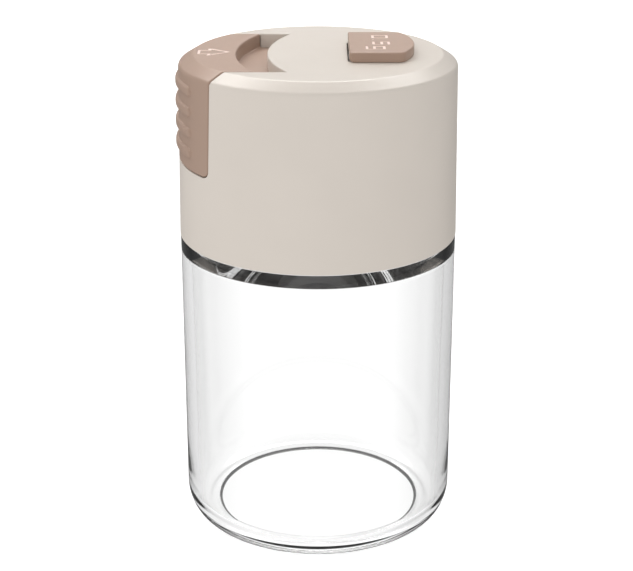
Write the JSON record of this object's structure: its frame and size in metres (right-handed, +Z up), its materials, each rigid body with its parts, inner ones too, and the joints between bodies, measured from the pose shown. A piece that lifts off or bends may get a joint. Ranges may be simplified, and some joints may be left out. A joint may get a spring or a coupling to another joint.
{
  "type": "spice dispenser",
  "caption": "Clear straight glass jar with a screw-on metering cap: a side push key slides a dose chamber to an outlet that a small hinged flip lid closes.",
  "frame": {"origin": "centre of the jar's foot, on the surface that it stands on", "axes": "+Z up the jar's axis to the cap, -X towards the push key, +X towards the flip lid's nose"},
  "size_m": [0.0625, 0.0622, 0.1111],
  "materials": {
    "clear_glass": "clear, polished",
    "cream_plastic": "fine satin texture",
    "brown_plastic": "fine satin texture",
    "dark_plastic": "matte, moulded",
    "pale_plastic": "matte, moulded",
    "silicone": "matte, soft",
    "spring_steel": "bright drawn steel"
  },
  "bodies": {
    "jar": {"glass_jar": "clear_glass"},
    "seal": {"neck_seal": "silicone"},
    "collar": {"thread_collar": "pale_plastic"},
    "cap": {"cap_shell": "cream_plastic", "metering_base": "dark_plastic", "inlet_gasket": "silicone", "outlet_gasket": "silicone", "slide_cover": "cream_plastic", "return_spring_left": "spring_steel", "return_spring_right": "spring_steel", "base_screw_1": "spring_steel", "base_screw_2": "spring_steel", "base_screw_3": "spring_steel", "base_screw_4": "spring_steel", "lid_hinge_pin": "spring_steel"},
    "key": {"push_key": "brown_plastic", "dose_slide": "pale_plastic", "key_screw_1": "spring_steel", "key_screw_2": "spring_steel"},
    "lid": {"flip_lid": "brown_plastic", "outlet_plug": "silicone"}
  },
  "joints": [
    {"name": "cap_lift_off", "type": "slide", "parent": "jar", "child": "seal", "axis": [0, 0, 1], "range_m": [0, 0.06]},
    {"name": "cap_climb", "type": "slide", "parent": "seal", "child": "collar", "axis": [0, 0, 1], "range_m": [0, 0.0036]},
    {"name": "cap_turn", "type": "hinge", "parent": "collar", "child": "cap", "pos_m": [0, 0, 0.0756], "axis": [0, 0, 1], "range_deg": [0, 300]},
    {"name": "key_push", "type": "slide", "parent": "cap", "child": "key", "axis": [1, 0, 0], "range_m": [0, 0.0064], "stiffness_N_per_m": 350, "springref_m": -0.0057, "deforming": ["return_spring_left", "return_spring_right"]},
    {"name": "lid_open", "type": "hinge", "parent": "cap", "child": "lid", "pos_m": [0.0074, 0, 0.1098], "axis": [0, -1, 0], "range_deg": [0, 90]}
  ],
  "couplings": [
    {"joint": "cap_climb", "follows": "cap_turn", "m_per_rad": 0.00066845}
  ]
}
